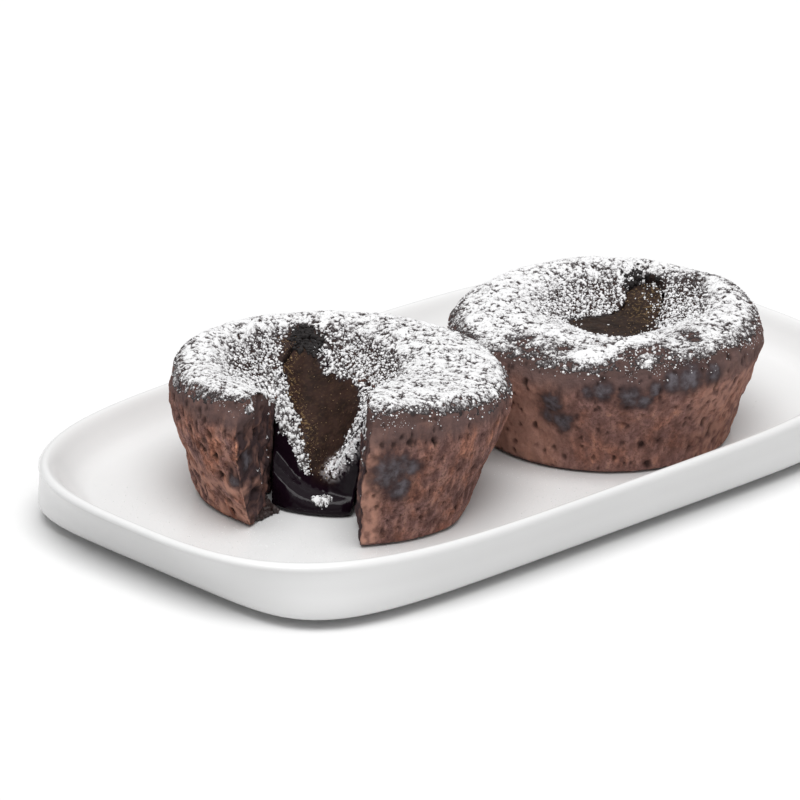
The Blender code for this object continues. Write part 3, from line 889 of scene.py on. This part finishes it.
def side_grains(name, item, where, edge_height, material, seed, total):
    """A sprinkle of fine sugar that caught on the upper part of the side."""
    draw = np.random.default_rng(seed)
    points = places(item.data)
    own = to_cake(points, where)
    facing = directions(item.data)
    radius = np.hypot(own[:, 0], own[:, 1])
    chance = smooth(edge_height - 5.0 * MM, edge_height + 2.0 * MM, own[:, 2]) ** 3
    chance = chance * (radius > 29.0 * MM) * (facing[:, 2] > -0.5)
    chance *= smooth(-0.5, 0.4, soft_noise(points, 3.5 * MM, seed + 2))
    picked = draw.choice(len(points), total, replace=False, p=chance / chance.sum())
    sizes = (0.05 + 0.10 * draw.random(total) ** 2) * MM
    spots = points[picked] + facing[picked] * (0.2 * sizes)[:, None]
    return scatter(name, spots, sizes, material, seed + 1)


def sugar_cake(name, cake, filling, bare, where, cover, edge_height, seed, materials):
    """All the sugar on one cake: the sheet, the loose grains and the fine grains on its side."""
    sugar, grain = materials
    host = [cake, filling]
    points, thick, loose = sugar_sheet(name + "_sugar", host, bare, where, cover, seed, sugar)
    grains_on(name + "_sugar_grains", points, thick, loose, grain, seed + 2, GRAINS_A_CAKE)
    side_grains(name + "_side_sugar", cake, where, edge_height, grain, seed + 4, SIDE_GRAINS)


# Chocolate

# The right bank of the flow, pale with sugar and a painted highlight, as across, away and height in
# millimetres
RIDGE_TOP = (5.6, -14.5, 23.5)
RIDGE_FOOT = (-1.2, -8.6, 10.0)


def ridge_gap(own):
    """Distance from the line down the right bank of the flow."""
    start = np.array(RIDGE_TOP) * MM
    line = np.array(RIDGE_FOOT) * MM - start
    along = np.clip((own - start) @ line / (line @ line), 0.0, 1.0)
    return np.linalg.norm(own - start - along[:, None] * line, axis=1)


def left_gap(own):
    """Distance to the right of the bare channel's left side."""
    return own[:, 0] - np.interp(own[:, 1] / MM, CHANNEL_AWAY, CHANNEL_LEFT) * MM


def make_pour(material):
    item = fine_copy("molten_chocolate", "poured_chocolate", POUR_VOXEL, 7)
    mesh = item.data
    points = places(mesh)
    facing = directions(mesh)
    own = to_cake(points, CUT_CAKE_AT)
    bare = channel(own)
    ridge = smooth(1.5 * MM, 4.0 * MM, own[:, 0]) * smooth(9.0 * MM, 13.0 * MM, own[:, 2]) * (1.0 - bare)
    wave = 0.20 * MM * soft_noise(points * np.array((1.0, 1.0, 0.6)), 3.4 * MM, 61)
    fold = 0.42 * MM * ridge * soft_noise(points, 1.9 * MM, 63)
    fine = 0.11 * MM * soft_noise(points, 1.1 * MM, 67) * (0.4 + 0.6 * bare)
    calm = 1.0 - 0.8 * smooth(6.0 * MM, 2.0 * MM, own[:, 2])
    points = points + facing * ((wave + fold + fine) * calm * smooth(0.3 * MM, 1.2 * MM, own[:, 2]))[:, None]
    put_places(mesh, points)
    upper = smooth(5.0 * MM, 9.0 * MM, own[:, 2])
    put_number(mesh, "set", bare * upper)
    # Painted glints, most along the left bank of the channel
    bank = smooth(5.0 * MM, 0.5 * MM, left_gap(own)) * smooth(-3.0 * MM, 4.0 * MM, own[:, 1])
    put_number(mesh, "painted_glint", np.clip(0.12 + bank, 0.0, 1.0) * bare * upper)
    # Pale streaks down the right bank: a thin sugar film and a painted highlight
    stripes = soft_noise(own * np.array((1.0, 1.0, 0.45)) + own[:, [1, 2, 0]] * 0.3, 1.0 * MM, 68)
    sugar_film_and_highlight = smooth(4.2 * MM, 0.9 * MM, ridge_gap(own) + 0.7 * MM * stripes)
    sugar_film_and_highlight = sugar_film_and_highlight * smooth(-0.25, 0.25, stripes + soft_noise(own, 0.6 * MM, 69))
    put_number(mesh, "sugar_film_and_highlight", 0.9 * sugar_film_and_highlight * (own[:, 2] > 6.0 * MM))
    return finish_piece(item, material, "molten_chocolate")


def make_pool(material):
    item = fine_copy("chocolate_pool", "pooled_chocolate", POUR_VOXEL, 4)
    mesh = item.data
    points = places(mesh)
    facing = directions(mesh)
    own = to_cake(points, WHOLE_CAKE_AT)
    ripple = soft_noise(points, 2.0 * MM, 71) + 0.5 * soft_noise(points, 2.0 * MM / 2.1, 84)
    points = points + facing * (0.20 * MM * ripple)[:, None]
    put_places(mesh, points)
    put_number(mesh, "set", 0.75 + 0.25 * soft_noise(points, 2.5 * MM, 73))
    # Painted glints, more towards the pool's right and back
    streak = smooth(2.0 * MM, 8.0 * MM, own[:, 0]) * smooth(6.0 * MM, 12.0 * MM, own[:, 1])
    put_number(mesh, "painted_glint", np.clip(0.15 + 0.85 * streak, 0.0, 1.0))
    put_number(mesh, "sugar_film_and_highlight", np.zeros(len(points)))
    return finish_piece(item, material, "chocolate_pool")


# Smallest and largest radius in millimetres: of the golden flecks, which are painted glints, and of the
# nearly black crumbs, which paint the shade of the hollows
FLECKS = (0.05, 0.16)
HOLLOW_SHADE_CRUMBS = (0.20, 0.72)


def sprinkle(name, host, keep, total, sizes, material, seed):
    """Grains or crumbs at random places on the part of a piece that keep selects."""
    item, where, slot = host
    points = places(item.data)
    weight = keep(to_cake(points, where), directions(item.data))
    draw = np.random.default_rng(seed)
    picked = draw.choice(len(points), total, p=weight / weight.sum())
    spots = points[picked] + draw.normal(0.0, 0.10 * MM, (total, 3))
    radii = np.random.default_rng(seed + 50).uniform(*sizes, total) * MM
    return scatter(name, spots, radii, material, seed + 1)


# Where dark crumbs lie on the plate at the foot of the left cut face as a painted shade of that face, across
# and forward in millimetres
FOOT_CORNERS = ((-17.0, 8.5), (-13.6, 12.6), (-18.6, 19.0))


def foot_shade_crumbs(total, material, seed):
    """Dark crumbs between the left cut face and the molten chocolate, a painted shade of that face."""
    draw = np.random.default_rng(seed)
    share = draw.dirichlet((1.0, 1.0, 1.0), total)
    flat = share @ np.array(FOOT_CORNERS) * MM
    x = flat[:, 0] * cos(CAKE_TURN) + flat[:, 1] * sin(CAKE_TURN) + CUT_CAKE_AT[0]
    y = flat[:, 0] * sin(CAKE_TURN) - flat[:, 1] * cos(CAKE_TURN) + CUT_CAKE_AT[1]
    sizes = draw.uniform(0.3, 0.9, total) * MM
    heights = WELL_HEIGHT + 0.7 * sizes + draw.uniform(0.0, 1.6, total) * (share[:, 0] + 0.2) * MM
    spots = np.column_stack((x, y, heights))
    return scatter("foot_shade_crumbs", spots, sizes, material, seed + 1)


def ridge_sugar(items, material):
    """Sugar caught in streaks along the right bank of the flow."""
    draw = np.random.default_rng(501)
    points = np.concatenate([places(item.data) for item in items])
    own = to_cake(points, CUT_CAKE_AT)
    chance = smooth(3.4 * MM, 0.8 * MM, ridge_gap(own))
    chance = chance * smooth(-0.2, 0.3, soft_noise(own, 1.1 * MM, 68)) + 1e-12
    picked = draw.choice(len(points), RIDGE_GRAINS, p=chance / chance.sum())
    sizes = (0.10 + 0.16 * draw.random(RIDGE_GRAINS)) * MM
    return scatter("ridge_sugar_grains", points[picked], sizes, material, 502)


def glint_place(own, facing):
    """More painted glint flecks along the left side of the flow."""
    bank = smooth(6.0 * MM, 0.5 * MM, left_gap(own))
    upper = smooth(5.0 * MM, 10.0 * MM, own[:, 2]) * (facing[:, 2] > 0.2)
    return (0.06 + bank ** 2) * channel(own) * upper + 1e-9


# Painted glint flecks on the crater wall left of the dark hollow
def glint_wall(own, facing):
    gap = np.hypot(own[:, 0] + 11.8 * MM, own[:, 1] - 23.0 * MM)
    return (facing[:, 2] > 0.1) * smooth(4.5 * MM, 1.5 * MM, gap) * (own[:, 2] > 18.0 * MM) + 1e-12


# Where the nearly black crumbs that paint a hollow's shade lie
def hollow_shade_place(name, reach):
    def keep(own, facing):
        gap = hollow_shade_gap(own, name) + 1.2 * MM * soft_noise(own, 1.8 * MM, 421)
        return (facing[:, 2] > 0.05) * smooth(reach, 0.45 * reach, gap) + 1e-12

    return keep


# Painted glint flecks on the pool, more towards its right
def pool_top(own, facing):
    return (facing[:, 2] > 0.4) * (0.2 + smooth(0.0, 8.0 * MM, own[:, 0])) + 1e-9


def pool_edge(own, facing):
    """More towards the right bank of the pool and of its streak."""
    bank = smooth(8.5 * MM, 12.5 * MM, own[:, 0] + 1.6 * MM * soft_noise(own, 2.2 * MM, 431))
    rim = smooth(-4.0 * MM, -8.0 * MM, own[:, 0])
    return (facing[:, 2] > 0.2) * (0.02 + bank + 0.5 * rim) + 1e-12


# Dustings on the plate's well: middle and spread in millimetres and share of the grains
DUST_PATCHES = [
    ((-78.0, -12.0), 11.0, 0.34), ((-66.0, -36.0), 8.0, 0.2), ((-4.0, -36.0), 9.0, 0.2),
    ((-88.0, 8.0), 12.0, 0.14), ((40.0, 34.0), 30.0, 0.12),
]


def plate_dust(material):
    """A faint dusting of sugar on the well near the cakes."""
    draw = np.random.default_rng(91)
    spots = []
    for middle, width, share in DUST_PATCHES:
        spots.append(draw.normal(0.0, width, (int(PLATE_GRAINS * share), 2)) + np.array(middle))
    xy = np.concatenate(spots)
    keep = (np.abs(xy[:, 0]) < 93.0) & (np.abs(xy[:, 1]) < 46.0)
    xy = xy[keep] * MM
    spots = np.column_stack((xy, np.full(len(xy), WELL_HEIGHT + 0.05 * MM)))
    sizes = draw.uniform(0.05, 0.12, len(spots)) * MM
    return scatter("plate_sugar_dust", spots, sizes, material, 92, lumpy=False)


# Stage, light and camera

def make_floor():
    mesh = bpy.data.meshes.new("floor")
    half = 8.0
    corners = [(-half, -half, 0), (half, -half, 0), (half, half, 0), (-half, half, 0)]
    mesh.from_pydata(corners, [], [(0, 1, 2, 3)])
    item = link("floor", mesh)
    stuff, _, _, shader = new_material("pale floor")
    shader.inputs["Base Color"].default_value = (0.75, 0.75, 0.75, 1.0)
    set_gloss(shader, 0.9, 0.0)
    item.data.materials.append(stuff)
    item.location.z = -0.0002


def toward(turn, rise):
    """Direction from the object to something that stands at a turn and a height."""
    return Vector((sin(turn) * cos(rise), -cos(turn) * cos(rise), sin(rise)))


def make_light():
    scene = bpy.context.scene
    world = bpy.data.worlds.new("soft room")
    world.use_nodes = True
    nodes = world.node_tree.nodes
    links = world.node_tree.links
    ground = nodes["Background"]
    ground.inputs["Color"].default_value = (1.0, 1.0, 1.0, 1.0)
    split = nodes.new("ShaderNodeSeparateXYZ")
    links.new(nodes.new("ShaderNodeTexCoord").outputs["Generated"], split.inputs[0])
    glow = range_node(nodes, links, split.outputs["Z"], ROOM_LOW, ROOM_HIGH)
    links.new(glow, ground.inputs["Strength"])
    scene.world = world
    for name, energy, rise, width in LIGHTS:
        sun = bpy.data.lights.new(name, "SUN")
        sun.energy = energy
        sun.angle = width
        item = bpy.data.objects.new(name, sun)
        item.rotation_mode = "QUATERNION"
        item.rotation_quaternion = toward(CAMERA_TURN, rise).to_track_quat("Z", "Y")
        scene.collection.objects.link(item)
    scene.view_settings.view_transform = "Standard"


def make_camera():
    back = toward(CAMERA_TURN, CAMERA_RISE)
    right = Vector((cos(CAMERA_TURN), sin(CAMERA_TURN), 0.0))
    up = back.cross(right)
    tilted_right = right * cos(CAMERA_ROLL) + up * sin(CAMERA_ROLL)
    tilted_up = up * cos(CAMERA_ROLL) - right * sin(CAMERA_ROLL)
    camera = bpy.data.cameras.new("camera")
    camera.lens = CAMERA_LENS
    camera.sensor_width = 36.0
    item = bpy.data.objects.new("camera", camera)
    turn = Matrix((tilted_right, tilted_up, back)).transposed().to_4x4()
    item.matrix_world = Matrix.Translation(CAMERA_TARGET + back * CAMERA_DISTANCE) @ turn
    bpy.context.scene.collection.objects.link(item)
    bpy.context.scene.camera = item


def main():
    make_camera()
    make_light()
    make_floor()
    make_plate()

    crumb = crumb_material("cake crumb")
    sugar = sugar_material()
    grain = grain_material("sugar grain", (0.86, 0.86, 0.87), 0.9)
    painted_glint = grain_material("painted glint fleck", (0.26, 0.165, 0.08), 0.4)
    hollow_shade = grain_material("hollow shade crumb", (0.010, 0.007, 0.007), 0.8)
    glossy = chocolate_material("molten chocolate", MOLTEN_COLOURS, 0.10, 0.4)
    satin = chocolate_material("setting chocolate", SETTING_COLOURS, 0.35, 0.0)

    cut_cake = fine_copy("cut_cake", "cut_cake_crumb", CAKE_VOXEL, 3)
    crumb_relief(cut_cake, CUT_CAKE_AT, 1, CUT_BERRIES, 29.0 * MM, cut_share)
    finish_piece(cut_cake, crumb, "cut_cake")
    whole_cake = fine_copy("whole_cake", "whole_cake_crumb", CAKE_VOXEL, 3)
    crumb_relief(whole_cake, WHOLE_CAKE_AT, 101, WHOLE_BERRIES, 25.5 * MM, whole_share)
    finish_piece(whole_cake, crumb, "whole_cake")
    pour = make_pour(glossy)
    pool = make_pool(satin)

    dry = (sugar, grain)
    sugar_cake("cut_cake", cut_cake, pour, [], CUT_CAKE_AT, cut_cover, 30.5 * MM, 201, dry)
    sugar_cake("whole_cake", whole_cake, pool, [pool], WHOLE_CAKE_AT, whole_cover, 27.0 * MM, 301, dry)
    ridge_sugar([pour, cut_cake], grain)

    on_pour = (pour, CUT_CAKE_AT, "molten_chocolate")
    on_pool = (pool, WHOLE_CAKE_AT, "pool_chocolate")
    on_cut = (cut_cake, CUT_CAKE_AT, "cut_cake_crumb")
    on_whole = (whole_cake, WHOLE_CAKE_AT, "whole_cake_crumb")
    # Golden flecks are painted glints
    sprinkle("pour_glint_flecks", on_pour, glint_place, 360, FLECKS, painted_glint, 406)
    sprinkle("crater_glint_flecks", on_cut, glint_wall, 160, FLECKS, painted_glint, 412)
    sprinkle("pool_glint_flecks", on_pool, pool_top, 220, FLECKS, painted_glint, 408)
    sprinkle("pool_sugar_grains", on_pool, pool_edge, 150, (0.10, 0.30), grain, 410)
    # Nearly black crumbs paint the shade of the dark hollow above each channel
    near_cut = hollow_shade_place("cut_cake_crumb", 5.4 * MM)
    near_whole = hollow_shade_place("whole_cake_crumb", 5.0 * MM)
    sprinkle("cut_cake_hollow_shade_crumbs", on_cut, near_cut, 240, HOLLOW_SHADE_CRUMBS, hollow_shade, 422)
    sprinkle("pour_hollow_shade_crumbs", on_pour, near_cut, 120, HOLLOW_SHADE_CRUMBS, hollow_shade, 424)
    sprinkle("whole_cake_hollow_shade_crumbs", on_whole, near_whole, 200, HOLLOW_SHADE_CRUMBS, hollow_shade, 426)
    # Dark crumbs that paint the shade of the left cut face
    foot_shade_crumbs(170, grain_material("foot shade crumb", (0.030, 0.015, 0.013), 0.5), 441)
    plate_dust(grain)


main()
